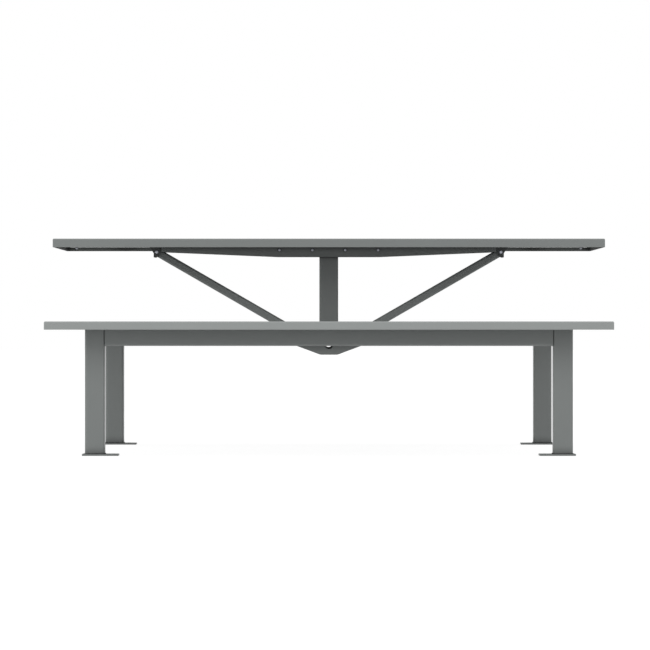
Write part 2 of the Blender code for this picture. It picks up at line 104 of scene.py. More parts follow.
# Share of painted shade spread evenly over a piece, or over the inner faces of the pan's rims, under the top
POST_SHADE = 0.25
STRUT_SHADE = 0.19
RIB_SHADE = 0.23
RIM_SHADE = 0.10
BRACKET_SHADE = 0.78
PAN_END_SHADE = 0.95
# Painted shade on the bright fasteners under the top, which also makes them rougher: 0 is clean steel, and 1
# is as dark as a washer
STUD_SHADE = 0.5
RIB_BOLT_SHADE = 0.3

# Middle of a noise pattern's values
NOISE_MIDDLE = 0.5
# What the clouds, the grain and the thin edges add to the coat's tone, and how far that tone goes down and up
CLOUD_TONE = 0.6
GRAIN_TONE = 0.4
EDGE_TONE = 0.12
COAT_SPREAD = 0.08
# Tone of the painted shade, as a share of the coat's
SHADE_TONE = 0.15
# Roughness of the clean coat, and what the same patterns and the painted shade change in it
COAT_ROUGHNESS = 0.42
CLOUD_ROUGHNESS = 0.12
GRAIN_ROUGHNESS = 0.10
EDGE_POLISH = 0.05
SHADE_ROUGHNESS = 0.2
COAT_SPECULAR = 0.4
# Height of the grain, as a share of the waves'
GRAIN_HEIGHT = 0.6
# Rays that look for a corner round each point, for the painted shade
CORNER_SAMPLES = 8
# How far the steel's tone goes down and up, the tone of steel under painted shade, and the steel's roughness
STEEL_SPREAD = 0.1
SHADED_STEEL_TONE = 0.3
STEEL_ROUGHNESS = 0.30
SCUFF_ROUGHNESS = 0.16
DULL_ROUGHNESS = 0.2

WELD_SEED = 11
# Bevel resolution of a bead's round section
BEAD_ROUNDNESS = 6
# Shares of a bead's full radius: in the hollows between its ripples, how far it varies, and at its ends
RIPPLE_HOLLOW = 0.82
RIPPLE_SPREAD = 0.05
BEAD_END = 0.6
# How far the welds of a bracket stop short of its corners
BRACKET_WELD_INSET = 0.006
# Short beads along one side of a piece
RAIL_STITCHES = 2
STIFFENER_STITCHES = 3
RIB_STITCHES = 6
SUPPORT_STITCHES = 2

# Shank of each kind of fastener, and height of its head or nut with the washer
RIB_SHANK, RIB_HEAD = 0.006, 0.0035
STRUT_SHANK, STRUT_HEAD = 0.008, 0.005
JOINT_SHANK, JOINT_HEAD = 0.010, 0.006
STUD_SHANK, STUD_HEAD = 0.008, 0.006
# Play of a shank in its hole
HOLE_PLAY = 0.0006
# Widths of heads and nuts, as shares of the width of their washers
BUTTON_WIDTH = 0.74
NUT_WIDTH = 0.90
HEX_HEAD_WIDTH = 0.95
CAP_NUT_WIDTH = 0.86
CAP_WIDTH = 0.66
# Thickness of a washer, as a share of its height together with the head or nut
BOLT_WASHER = 0.22
JOINT_WASHER = 0.25
STUD_WASHER = 0.18
# Shares of that height: the thread beyond a nut, the top of a cap nut's hexagon, and the foot of its cap
THREAD_END = 0.18
CAP_NUT_TOP = 0.62
CAP_FOOT = 0.5
# Share of a head's height that its rounded edge takes
BUTTON_ROUND = 0.62
CAP_ROUND = 0.45
TIP_ROUND = 0.15
# The socket in a head, as shares of the head's width and height
SOCKET_WIDTH = 0.50
SOCKET_DEPTH = 0.55
# Softened edges of the small turned parts
WASHER_EDGE = 0.0002
HEX_EDGE = 0.0004
SOCKET_EDGE = 0.00012

WHITE = (1.0, 1.0, 1.0, 1.0)
FLOOR_SIZE = 120.0
FLOOR_DROP = 0.0004
FLOOR_ROUGHNESS = 0.9
# Width, height and place of each lamp, and what both point at
KEY_LAMP = ((7.0, 3.0), (0.0, -5.0, 3.4))
SIDE_LAMP = ((3.0, 3.0), (-6.0, -3.0, 1.5))
LAMP_TARGET = (0.0, 0.0, 0.45)
SENSOR_WIDTH = 36.0
FAR_CLIP = 500.0


class TableSizes(bpy.types.PropertyGroup):
    """Sizes of the sheet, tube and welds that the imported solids' corners do not give."""

    sheet: bpy.props.FloatProperty(
        name="Sheet", description="Thickness of the folded sheet", default=0.003, unit="LENGTH"
    )
    sheet_bend: bpy.props.FloatProperty(
        name="Sheet bend", description="Outside radius of a fold", default=0.0045, unit="LENGTH"
    )
    rib_plate: bpy.props.FloatProperty(
        name="Rib plate", description="Thickness of the ribs under the top", default=0.005, unit="LENGTH"
    )
    rib_flat: bpy.props.FloatProperty(
        name="Rib flat", description="Length of the ribs' level lower edge", default=0.362, unit="LENGTH"
    )
    rib_end: bpy.props.FloatProperty(
        name="Rib end", description="Depth of the ribs at their ends", default=0.0373, unit="LENGTH"
    )
    tube_wall: bpy.props.FloatProperty(
        name="Tube wall", description="Wall of the square tube", default=0.003, unit="LENGTH"
    )
    tube_corner: bpy.props.FloatProperty(
        name="Tube corner", description="Outside corner radius of the tube", default=0.008, unit="LENGTH"
    )
    strut_angle: bpy.props.FloatProperty(
        name="Strut angle", description="Rise of the struts", default=0.52298, subtype="ANGLE"
    )
    strut_depth: bpy.props.FloatProperty(
        name="Strut thickness", description="Height of the struts' section", default=0.0286, unit="LENGTH"
    )
    bracket_wall: bpy.props.FloatProperty(
        name="Bracket wall", description="Thickness of the strut brackets", default=0.006, unit="LENGTH"
    )
    plate_corner: bpy.props.FloatProperty(
        name="Plate corner", description="Corner radius of the flat plates", default=0.004, unit="LENGTH"
    )
    anchor_hole: bpy.props.FloatProperty(
        name="Anchor hole", description="Hole in each foot plate", default=0.014, unit="LENGTH"
    )
    anchor_edge: bpy.props.FloatProperty(
        name="Anchor edge",
        description="From the middle of the anchor hole to the end of its plate",
        default=0.026,
        unit="LENGTH",
    )
    sight_hole: bpy.props.FloatProperty(
        name="End plate hole",
        description="Hole in the middle of each end plate",
        default=0.0275,
        unit="LENGTH",
    )
    edge: bpy.props.FloatProperty(
        name="Soft edge",
        description="Rounding that the coat leaves on a cut edge",
        default=0.0006,
        unit="LENGTH",
    )
    weld: bpy.props.FloatProperty(
        name="Weld", description="Radius of a weld bead", default=0.0028, unit="LENGTH"
    )
    weld_pitch: bpy.props.FloatProperty(
        name="Weld ripple", description="Length of one ripple of a bead", default=0.0034, unit="LENGTH"
    )
    sheet_weld: bpy.props.FloatProperty(
        name="Sheet weld", description="Radius of the thin beads", default=0.0018, unit="LENGTH"
    )
    stitch: bpy.props.FloatProperty(
        name="Stitch", description="Length of one short bead on the sheet", default=0.026, unit="LENGTH"
    )
    # Height of the painted shade on the foot of each leg
    splash: bpy.props.FloatProperty(
        name="Splash", description="Height of the dusty foot of a leg", default=0.08, unit="LENGTH"
    )


class TableFrame(bpy.types.PropertyGroup):
    """Outlines of the cut plates in the middle frame."""

    end_plate_foot: bpy.props.FloatProperty(
        name="End plate foot", description="Level lower edge of an end plate", default=0.059, unit="LENGTH"
    )
    end_plate_slope: bpy.props.FloatProperty(
        name="End plate slope",
        description="Rise of an end plate's slanting edges",
        default=0.35779,
        subtype="ANGLE",
    )
    bracket_grip: bpy.props.FloatProperty(
        name="Bracket grip",
        description="How far a bracket grips the strut behind its bolt",
        default=0.014,
        unit="LENGTH",
    )
    bracket_lip: bpy.props.FloatProperty(
        name="Bracket lip",
        description="Width of the lip at a bracket's outer edge",
        default=0.0105,
        unit="LENGTH",
    )
    bracket_lip_taper: bpy.props.FloatProperty(
        name="Lip taper", description="How much narrower the lip ends", default=0.002, unit="LENGTH"
    )
    bracket_side: bpy.props.FloatProperty(
        name="Bracket side", description="Reach of the lip beyond the bolt", default=0.0108, unit="LENGTH"
    )
    bracket_flare: bpy.props.FloatProperty(
        name="Bracket flare",
        description="Drop from the bolt to the foot of a bracket's slanting side",
        default=0.005,
        unit="LENGTH",
    )


class TableFinish(bpy.types.PropertyGroup):
    """Colours and textures of the coat and of the bare fasteners."""

    coat: bpy.props.FloatVectorProperty(
        name="Coat",
        description="Powder coat of the top and frame",
        default=(0.200, 0.213, 0.209),
        subtype="COLOR",
    )
    # Painted light: the seats' coat is the frame's coat made paler, standing for the brighter light on the
    # seats
    seat_coat: bpy.props.FloatVectorProperty(
        name="Seat coat",
        description="Paler powder coat of the seats",
        default=(0.282, 0.298, 0.293),
        subtype="COLOR",
    )
    steel: bpy.props.FloatVectorProperty(
        name="Steel", description="Bare stainless fasteners", default=(0.56, 0.57, 0.63), subtype="COLOR"
    )
    grain: bpy.props.FloatProperty(
        name="Grain", description="Size of the coat's fine texture", default=0.0009, unit="LENGTH"
    )
    peel: bpy.props.FloatProperty(
        name="Waviness", description="Size of the soft waves in the coat", default=0.006, unit="LENGTH"
    )
    relief: bpy.props.FloatProperty(
        name="Relief", description="Height of the coat's texture", default=0.00005, unit="LENGTH"
    )
    cloud: bpy.props.FloatProperty(
        name="Cloud", description="Size of the faint changes of tone", default=0.16, unit="LENGTH"
    )
    # How far the painted shade reaches out of a corner
    corner_reach: bpy.props.FloatProperty(
        name="Corner reach",
        description="How far the dark tone reaches out of a corner",
        default=0.036,
        unit="LENGTH",
    )


class StudioLook(bpy.types.PropertyGroup):
    """Floor, light and camera."""

    floor: bpy.props.FloatVectorProperty(
        name="Floor",
        description="Colour that the floor sends back to the table",
        default=(0.66, 0.66, 0.66),
        subtype="COLOR",
    )
    floor_white: bpy.props.FloatProperty(
        name="Floor white",
        description="Share of plain white in what the camera sees of the floor",
        default=0.76,
    )
    floor_glow: bpy.props.FloatProperty(
        name="Floor glow", description="Strength of that white, which makes the open floor white", default=1.2
    )
    sky: bpy.props.FloatProperty(name="Sky", description="Light from all round", default=0.9)
    key_power: bpy.props.FloatProperty(
        name="Key light", description="Power of the wide lamp above the camera", default=64.0, subtype="POWER"
    )
    side_power: bpy.props.FloatProperty(
        name="Side light", description="Power of the lamp at the left", default=36.0, subtype="POWER"
    )
    camera_place: bpy.props.FloatVectorProperty(
        name="Camera", description="Place of the camera", default=(-0.0135, -15.14, 0.4479), subtype="XYZ"
    )
    focal_length: bpy.props.FloatProperty(
        name="Focal length", description="Lens in millimetres on a 36 mm sensor", default=233.4
    )


def clear_selection():
    active = bpy.context.object
    if active is not None and active.mode != "OBJECT":
        bpy.ops.object.mode_set(mode="OBJECT")
    bpy.ops.object.select_all(action="DESELECT")


def take(piece):
    """Makes the piece the active one, and the only one selected."""
    clear_selection()
    piece.select_set(True)
    bpy.context.view_layer.objects.active = piece


def named(name):
    """The active piece, with this name on it and on its mesh."""
    piece = bpy.context.object
    piece.name = name
    piece.data.name = name
    return piece


class Shaping:
    """Edit mode on one piece, with its faces or edges picked by a test."""

    def __init__(self, piece):
        self.piece = piece

    def __enter__(self):
        take(self.piece)
        bpy.ops.object.mode_set(mode="EDIT")
        return self

    def __exit__(self, *_):
        bpy.ops.object.mode_set(mode="OBJECT")

    def pick(self, kind, test):
        bpy.ops.mesh.select_mode(type=kind)
        bpy.ops.mesh.select_all(action="DESELECT")
        mesh = bmesh.from_edit_mesh(self.piece.data)
        found = [item for item in {"FACE": mesh.faces, "EDGE": mesh.edges}[kind] if test(item)]
        if not found:
            raise RuntimeError(f"{self.piece.name}: no {kind.lower()} passes the test")
        for item in found:
            item.select_set(True)
        mesh.select_flush_mode()
        bmesh.update_edit_mesh(self.piece.data)

    def move_corners(self, points):
        """Puts the mesh's corners, in their order, on these points."""
        mesh = bmesh.from_edit_mesh(self.piece.data)
        for corner, point in zip(mesh.verts, points):
            corner.co = point
        bmesh.update_edit_mesh(self.piece.data)

    def remove_faces(self, test):
        self.pick("FACE", test)
        bpy.ops.mesh.delete(type="ONLY_FACE")

    def bend_edges(self, test, radius):
        self.pick("EDGE", test)
        bpy.ops.mesh.bevel(offset=radius, segments=BEND_STEPS, affect="EDGES")

    def bisect(self, point, normal):
        """Cuts off all that lies beyond a plane, and closes the cut."""
        bpy.ops.mesh.select_all(action="SELECT")
        bpy.ops.mesh.bisect(plane_co=point, plane_no=normal, use_fill=True, clear_outer=True)

    def ring(self, point, normal):
        """Divides the faces that cross a plane."""
        bpy.ops.mesh.select_all(action="SELECT")
        bpy.ops.mesh.bisect(plane_co=point, plane_no=normal)


def runs_along(edge, axis):
    """Whether an edge between two faces runs along an axis."""
    step = edge.verts[1].co - edge.verts[0].co
    return abs(step[axis]) > ALONG * step.length and not edge.is_boundary


def work(piece, kind, **settings):
    """Adds a modifier with these settings and applies it."""
    take(piece)
    modifier = piece.modifiers.new(kind.lower(), kind)
    for key, value in settings.items():
        setattr(modifier, key, value)
    bpy.ops.object.modifier_apply(modifier=modifier.name)


def thicken(piece, thickness):
    work(piece, "SOLIDIFY", thickness=thickness, offset=-1.0, use_even_offset=True)


def soften(piece, width):
    """Rounds the sharp edges."""
    work(piece, "BEVEL", width=width, segments=SOFT_STEPS, limit_method="ANGLE", angle_limit=SHARP_ANGLE)


def take_out(piece, cutter):
    """Cuts the cutter's shape out of the piece and throws the cutter away."""
    work(piece, "BOOLEAN", operation="DIFFERENCE", solver="EXACT", object=cutter)
    bpy.data.objects.remove(cutter, do_unlink=True)


def join(name, pieces):
    clear_selection()
    for piece in pieces:
        piece.select_set(True)
    bpy.context.view_layer.objects.active = pieces[0]
    bpy.ops.object.join()
    return named(name)


def copy_of(piece, name, move):
    """A copy with its own mesh, moved as the matrix says."""
    copied = piece.copy()
    copied.data = piece.data.copy()
    copied.name = name
    copied.data.name = name
    bpy.context.scene.collection.objects.link(copied)
    copied.data.transform(move)
    return copied


def middle_of(node):
    low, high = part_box(node)
    return (low + high) / 2


def block(name, low, high):
    """A block between two corners, with its place in its mesh."""
    low = Vector(low)
    high = Vector(high)
    clear_selection()
    bpy.ops.mesh.primitive_cube_add(size=1.0, location=(low + high) / 2, scale=high - low)
    bpy.ops.object.transform_apply(location=True, rotation=True, scale=True)
    return named(name)


def rod(name, diameter, start, end, sides=ROUND_SIDES):
    """A round or six-sided bar between two points, which have two coordinates in common."""
    start = Vector(start)
    end = Vector(end)
    along = end - start
    turn = along.to_track_quat("Z", "Y").to_euler()
    clear_selection()
    bpy.ops.mesh.primitive_cylinder_add(
        vertices=sides, radius=diameter / 2, depth=along.length, location=(start + end) / 2, rotation=turn
    )
    bpy.ops.object.transform_apply(location=True, rotation=True, scale=True)
    return named(name)


def drill(piece, diameter, centre, axis, reach=TUBE_REACH):
    """A round hole through the piece, along an axis."""
    half = AXES[axis] * reach
    take_out(piece, rod("drill", diameter, Vector(centre) - half, Vector(centre) + half))


def plate(name, outline, step):
    """A flat plate: the outline's points, drawn out by a step."""
    clear_selection()
    bpy.ops.mesh.primitive_circle_add(vertices=len(outline), fill_type="NGON")
    piece = named(name)
    with Shaping(piece) as shape:
        shape.move_corners(outline)
        bpy.ops.mesh.select_all(action="SELECT")
        bpy.ops.mesh.extrude_region_move(TRANSFORM_OT_translate={"value": step})
        bpy.ops.mesh.select_all(action="SELECT")
        bpy.ops.mesh.normals_make_consistent(inside=False)
    return piece


def round_corners(piece, axis, radius):
    """Rounds the edges that run along an axis."""
    with Shaping(piece) as shape:
        shape.bend_edges(lambda edge: runs_along(edge, axis), radius)


def flat_plate(name, node, axis, sizes):
    """A rectangular plate, thin along an axis, with rounded corners."""
    piece = block(name, *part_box(node))
    round_corners(piece, axis, sizes.plate_corner)
    return piece


def tube(name, low, high, axis, sizes):
    """Square or rectangular tube along an axis, with open ends."""
    piece = block(name, low, high)
    with Shaping(piece) as shape:
        shape.remove_faces(lambda face: abs(face.normal[axis]) > FACING)
    round_corners(piece, axis, sizes.tube_corner)
    thicken(piece, sizes.tube_wall)
    return piece


def folded_pan(name, node, sizes):
    """Sheet with its four sides turned down and its corners welded and ground round."""
    piece = block(name, *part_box(node))
    with Shaping(piece) as shape:
        shape.remove_faces(lambda face: face.normal.z < -FACING)
        shape.bend_edges(lambda edge: not edge.is_boundary, sizes.sheet_bend)
    thicken(piece, sizes.sheet)
    dress_edges(piece, sizes)
    return piece


def folded_channel(name, node, axis, sizes):
    """Sheet channel along an axis, open above."""
    piece = block(name, *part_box(node))
    with Shaping(piece) as shape:
        shape.remove_faces(lambda face: face.normal.z > FACING or abs(face.normal[axis]) > FACING)
        shape.bend_edges(lambda edge: runs_along(edge, axis), sizes.sheet_bend)
    thicken(piece, sizes.sheet)
    return piece


def ring_path(low, high, axis, corner, pitch):
    """Points, a pitch apart, round a rounded rectangle that lies flat across an axis."""
    across = [i for i in (X, Y, Z) if i != axis]
    centre = (Vector(low) + Vector(high)) / 2
    reach = [(high[i] - low[i]) / 2 - corner for i in across]
    outline = []
    for first, second, start in ((1, 1, 0), (-1, 1, 90), (-1, -1, 180), (1, -1, 270)):
        for step in range(BEND_STEPS + 1):
            angle = math.radians(start + 90 * step / BEND_STEPS)
            point = centre.copy()
            point[across[0]] += first * reach[0] + corner * math.cos(angle)
            point[across[1]] += second * reach[1] + corner * math.sin(angle)
            outline.append(point)
    return spaced(outline + outline[:1], pitch)[:-1]


def spaced(points, pitch):
    """Points about a pitch apart along a line of points, both ends included."""
    lengths = [0.0]
    for first, second in zip(points, points[1:]):
        lengths.append(lengths[-1] + (second - first).length)
    count = max(2, round(lengths[-1] / pitch))
    found = []
    piece = 0
    for i in range(count + 1):
        along = lengths[-1] * i / count
        while piece < len(points) - 2 and lengths[piece + 1] < along:
            piece += 1
        share = (along - lengths[piece]) / (lengths[piece + 1] - lengths[piece])
        found.append(points[piece].lerp(points[piece + 1], share))
    return found


def weld_bead(points, closed, radius):
    """A rippled bead of weld along points that are half a ripple apart."""
    name = "weld"
    clear_selection()
    bpy.ops.mesh.primitive_circle_add(vertices=len(points), fill_type="NOTHING")
    piece = named(name)
    with Shaping(piece) as shape:
        shape.move_corners(points)
        if not closed:
            ends = {tuple(points[0]), tuple(points[-1])}
            shape.pick("EDGE", lambda edge: {tuple(v.co) for v in edge.verts} == ends)
            bpy.ops.mesh.delete(type="EDGE")
    take(piece)
    bpy.ops.object.convert(target="CURVE")
    bead = bpy.context.object
    bead.data.bevel_depth = radius
    bead.data.bevel_resolution = BEAD_ROUNDNESS
    bead.data.use_fill_caps = True
    hand = random.Random(WELD_SEED)
    for number, point in enumerate(bead.data.splines[0].points):
        point.radius = (1.0 if number % 2 else RIPPLE_HOLLOW) + hand.uniform(-RIPPLE_SPREAD, RIPPLE_SPREAD)
    if not closed:
        for end in (0, -1):
            bead.data.splines[0].points[end].radius = BEAD_END
    bpy.ops.object.convert(target="MESH")
    return named(name)


def ring_weld(low, high, axis, sizes):
    """A bead all round the end of a tube."""
    points = ring_path(low, high, axis, sizes.tube_corner, sizes.weld_pitch / 2)
    return weld_bead(points, True, sizes.weld)


def line_weld(start, end, radius, sizes):
    """A straight bead between two points."""
    points = spaced([Vector(start), Vector(end)], sizes.weld_pitch / 2)
    return weld_bead(points, False, radius)


def stitch_welds(start, end, count, sizes):
    """Short beads, evenly spaced between two points, that hold a piece to the sheet above it."""
    start = Vector(start)
    end = Vector(end)
    half = (end - start).normalized() * sizes.stitch / 2
    middles = [start.lerp(end, (number + 0.5) / count) for number in range(count)]
    return [line_weld(middle - half, middle + half, sizes.sheet_weld, sizes) for middle in middles]


def side_stitches(node, count, sizes):
    """Short beads along both sides of a piece that lies across the sheet above it."""
    low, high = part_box(node)
    return [
        weld
        for x in (low.x, high.x)
        for weld in stitch_welds((x, low.y, high.z), (x, high.y, high.z), count, sizes)
    ]


def mark(piece, name, value, test=None):
    """Notes a value on the faces that pass a test, or on all faces, for the piece's finish to read."""
    notes = piece.data.attributes.get(name) or piece.data.attributes.new(name, "FLOAT", "FACE")
    for face, note in zip(piece.data.polygons, notes.data):
        if test is None or test(face):
            note.value = value


def mark_edges(piece):
    """Notes on each narrow face that it is an edge."""
    corners = piece.data.vertices

    def is_narrow(face):
        points = [corners[i].co for i in face.vertices]
        around = sum((a - b).length for a, b in zip(points, points[1:] + points[:1]))
        return 2 * face.area / around < NARROW_FACE

    mark(piece, "edge", 1.0, is_narrow)


def dress_edges(piece, sizes):
    """Rounds a piece's edges as the coat does, and notes them for its finish."""
    soften(piece, sizes.edge)
    mark_edges(piece)


def faces_inward(face, axis):
    """Whether a face of the pan is on the inside of a rim that crosses this axis."""
    return abs(face.normal[axis]) > FACING and face.normal[axis] * face.center[axis] < 0


def place(piece, material, slot, *nodes):
    """Gives a finished piece its material and its body, and hides the solids that it stands for."""
    take(piece)
    bpy.ops.object.shade_smooth_by_angle(angle=SMOOTH_ANGLE)
    work(piece, "WEIGHTED_NORMAL", keep_sharp=True)
    piece.data.materials.clear()
    piece.data.materials.append(bpy.data.materials[material])
    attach(piece, "root")
    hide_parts(*nodes)
    return piece


def place_coated(piece, node, dust=OPEN_SHADE, film=0.0):
    """Places a piece of the frame, with the strength of the painted shade in its corners and all over."""
    mark(piece, "dust", dust)
    mark(piece, "film", film)
    return place(piece, "grey powder coat", "coat", node)


class Shade:
    """A value in a material: arithmetic on it adds Math nodes."""

    def __init__(self, finish, socket):
        self.finish = finish
        self.socket = socket

    def math(self, operation, first, second):
        return self.finish.add("ShaderNodeMath", {"operation": operation}, {0: first, 1: second})

    def __add__(self, other):
        return self.math("ADD", self, other)

    def __radd__(self, other):
        return self.math("ADD", other, self)

    def __sub__(self, other):
        return self.math("SUBTRACT", self, other)

    def __rsub__(self, other):
        return self.math("SUBTRACT", other, self)

    def __mul__(self, other):
        return self.math("MULTIPLY", self, other)

    def __rmul__(self, other):
        return self.math("MULTIPLY", other, self)


class Finish:
    """A tree of shader nodes, and the one way that nodes are added to it."""

    def __init__(self, tree):
        self.tree = tree

    def add(self, kind, settings=None, inputs=None, output=0):
        node = self.tree.nodes.new(kind)
        for key, value in (settings or {}).items():
            setattr(node, key, value)
        self.feed(node, inputs or {})
        return Shade(self, node.outputs[output])

    def feed(self, node, inputs):
        for key, value in inputs.items():
            if isinstance(value, Shade):
                self.tree.links.new(value.socket, node.inputs[key])
            else:
                node.inputs[key].default_value = value

    def noise(self, where, size, detail):
        return self.add("ShaderNodeTexNoise", {}, {"Vector": where, "Scale": 1.0 / size, "Detail": detail})

    def note(self, name):
        """A value that was noted on the piece's faces."""
        return self.add("ShaderNodeAttribute", {"attribute_name": name}, {}, "Fac")

    def mix_colour(self, share, first, second):
        first, second = (c if isinstance(c, Shade) else (*c, 1.0) for c in (first, second))
        return self.add("ShaderNodeMix", {"data_type": "RGBA"}, {"Factor": share, 6: first, 7: second}, 2)


def new_finish(name):
    material = bpy.data.materials.new(name)
    material.use_nodes = True
    return Finish(material.node_tree), material.node_tree.nodes["Principled BSDF"]


def shaded(colour, share):
    return [channel * share for channel in colour]


def powder_coat(name, colour, look):
    """Fine-grained satin coat: a pebbled surface over soft waves, with faint changes of tone and gloss.

    It carries painted shade: darker in the corners that ambient occlusion finds, and evenly darker on the
    pieces marked for it.
    """
    finish, shader = new_finish(name)
    place_on = finish.add("ShaderNodeTexCoord", output="Object")
    grain = finish.noise(place_on, look.grain, detail=2.0)
    peel = finish.noise(place_on, look.peel, detail=1.0)
    cloud = finish.noise(place_on, look.cloud, detail=3.0)
    edge = finish.note("edge")
    tone = (
        NOISE_MIDDLE
        + (cloud - NOISE_MIDDLE) * CLOUD_TONE
        + (grain - NOISE_MIDDLE) * GRAIN_TONE
        + edge * EDGE_TONE
    )
    # Painted shade: ambient occlusion darkens the corners, and a share noted on each piece darkens it all
    # over
    corners = {"Distance": look.corner_reach}
    open_share = finish.add("ShaderNodeAmbientOcclusion", {"samples": CORNER_SAMPLES}, corners, "AO")
    dust = (1.0 - open_share) * finish.note("dust") + finish.note("film")
    clean = finish.mix_colour(tone, shaded(colour, 1 - COAT_SPREAD), shaded(colour, 1 + COAT_SPREAD))
    height = grain * GRAIN_HEIGHT + peel
    bump = finish.add("ShaderNodeBump", {}, {"Strength": 1.0, "Distance": look.relief, "Height": height})
    finish.feed(shader, {
        "Base Color": finish.mix_colour(dust, clean, shaded(colour, SHADE_TONE)),
        "Roughness": COAT_ROUGHNESS
        + (cloud - NOISE_MIDDLE) * CLOUD_ROUGHNESS
        + (grain - NOISE_MIDDLE) * GRAIN_ROUGHNESS
        - edge * EDGE_POLISH
        + dust * SHADE_ROUGHNESS,
        "Normal": bump,
        "Specular IOR Level": COAT_SPECULAR,
    })


def bare_steel(name, colour, look):
    """Stainless steel with fine scuffs, and painted shade on the faces marked for it, which are rougher too.
    """
    finish, shader = new_finish(name)
    place_on = finish.add("ShaderNodeTexCoord", output="Object")
    scuff = finish.noise(place_on, look.grain, detail=3.0)
    blotch = finish.noise(place_on, look.peel, detail=2.0)
    dull = finish.note("dull")
    bright = finish.mix_colour(blotch, shaded(colour, 1 - STEEL_SPREAD), shaded(colour, 1 + STEEL_SPREAD))
    finish.feed(shader, {
        "Base Color": finish.mix_colour(dull, bright, shaded(colour, SHADED_STEEL_TONE)),
        "Roughness": STEEL_ROUGHNESS + scuff * SCUFF_ROUGHNESS + dull * DULL_ROUGHNESS,
        "Metallic": 1.0,
    })


class TABLE_OT_finishes(bpy.types.Operator):
    """Makes the coats and the bare steel"""

    bl_idname = "table.finishes"
    bl_label = "Finishes"

    def execute(self, context):
        look = context.scene.table_finish
        powder_coat("grey powder coat", look.coat, look)
        # The seats' paler copy of the coat is painted light
        powder_coat("pale grey powder coat", look.seat_coat, look)
        bare_steel("stainless steel", look.steel, look)
        return {"FINISHED"}


class TABLE_OT_pans(bpy.types.Operator):
    """Folds the table top and the two seats"""

    bl_idname = "table.pans"
    bl_label = "Top and seats"

    def execute(self, context):
        sizes = context.scene.table_sizes
        top = folded_pan("table_top_sheet", "table_top", sizes)
        place_coated(top, "table_top", SHELTERED_SHADE)
        # Painted shade on the inner faces of the pan's rims, near black at its ends
        mark(top, "film", RIM_SHADE, lambda face: faces_inward(face, Y))
        mark(top, "film", PAN_END_SHADE, lambda face: faces_inward(face, X))
        for end in ENDS:
            seat = folded_pan(f"{end}_seat_sheet", f"{end}_seat", sizes)
            mark(seat, "dust", SHELTERED_SHADE)
            # The seats take the paler coat, which is painted light
            place(seat, "pale grey powder coat", "seat_coat", f"{end}_seat")
        return {"FINISHED"}


class TABLE_OT_rail(bpy.types.Operator):
    """Folds the rail along the middle of the top, and the stiffeners across it"""

    bl_idname = "table.rail"
    bl_label = "Rail and stiffeners"

    def execute(self, context):
        sizes = context.scene.table_sizes
        rail = folded_channel("spine_rail_channel", "spine_rail", X, sizes)
        low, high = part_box("spine_rail")
        for side in SIDES:
            stud = middle_of(f"{side}_rail_stud")
            drill(rail, STUD_SHANK + HOLE_PLAY, (stud.x, stud.y, low.z), Z, SHEET_REACH)
        dress_edges(rail, sizes)
        rib_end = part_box("right_strut_bracket")[1].x
        stitches = [
            weld
            for y in (low.y, high.y)
            for end, sign in ((low.x, -1), (high.x, 1))
            for weld in stitch_welds((sign * rib_end, y, high.z), (end, y, high.z), RAIL_STITCHES, sizes)
        ]
        place_coated(join("spine_rail_channel", [rail, *stitches]), "spine_rail", SHELTERED_SHADE)
        for corner in CORNERS:
            node = f"{corner}_stiffener"
            stiffener = folded_channel(f"{node}_channel", node, Y, sizes)
            dress_edges(stiffener, sizes)
            stitches = side_stitches(node, STIFFENER_STITCHES, sizes)
            place_coated(join(f"{node}_channel", [stiffener, *stitches]), node, SHELTERED_SHADE)
        return {"FINISHED"}


class TABLE_OT_ribs(bpy.types.Operator):
    """Folds the two tapered ribs that are bolted to the post head"""

    bl_idname = "table.ribs"
    bl_label = "Ribs"

    def execute(self, context):
        sizes = context.scene.table_sizes
        low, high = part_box("front_rib")
        rib = block("front_rib_angle", low, high)
        bend = sizes.rib_plate + sizes.sheet / 2
        with Shaping(rib) as shape:
            shape.remove_faces(lambda face: face.normal.z < FACING and face.normal.y < FACING)
            shape.bend_edges(lambda edge: len(edge.link_faces) == 2, bend)
        thicken(rib, sizes.rib_plate)
        rise = high.z - sizes.rib_end - low.z
        run = (high.x - low.x - sizes.rib_flat) / 2
        with Shaping(rib) as shape:
            for sign in (-1, 1):
                shape.bisect((sign * sizes.rib_flat / 2, 0, low.z), (sign * rise, 0, -run))
        for node in RIB_BOLTS:
            bolt = middle_of(node)
            drill(rib, RIB_SHANK + HOLE_PLAY, (bolt.x, (low.y + high.y) / 2, bolt.z), Y)
        dress_edges(rib, sizes)
        stitches = stitch_welds((low.x, low.y, high.z), (high.x, low.y, high.z), RIB_STITCHES, sizes)
        rib = join("front_rib_angle", [rib, *stitches])
        rear = copy_of(rib, "rear_rib_angle", HALF_TURN)
        # Painted shade in the corners and all over the ribs, under the top
        place_coated(rib, "front_rib", SHELTERED_SHADE, RIB_SHADE)
        place_coated(rear, "rear_rib", SHELTERED_SHADE, RIB_SHADE)
        return {"FINISHED"}


class TABLE_OT_post(bpy.types.Operator):
    """Makes the post and the flat tube across its top, with the post's welds"""

    bl_idname = "table.post"
    bl_label = "Post"

    def execute(self, context):
        sizes = context.scene.table_sizes
        low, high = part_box("post")
        post = tube("post_tube", low, high, Z, sizes)
        dress_edges(post, sizes)
        welds = [ring_weld((low.x, low.y, z), (high.x, high.y, z), Z, sizes) for z in (low.z, high.z)]
        # Painted shade in the corners and all over the post, under the top
        place_coated(join("post_tube", [post, *welds]), "post", SHELTERED_SHADE, POST_SHADE)

        head = tube("post_head_tube", *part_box("post_head"), X, sizes)
        for node in RIB_BOLTS:
            drill(head, RIB_SHANK + HOLE_PLAY, middle_of(node), Y)
        dress_edges(head, sizes)
        place_coated(head, "post_head")
        return {"FINISHED"}


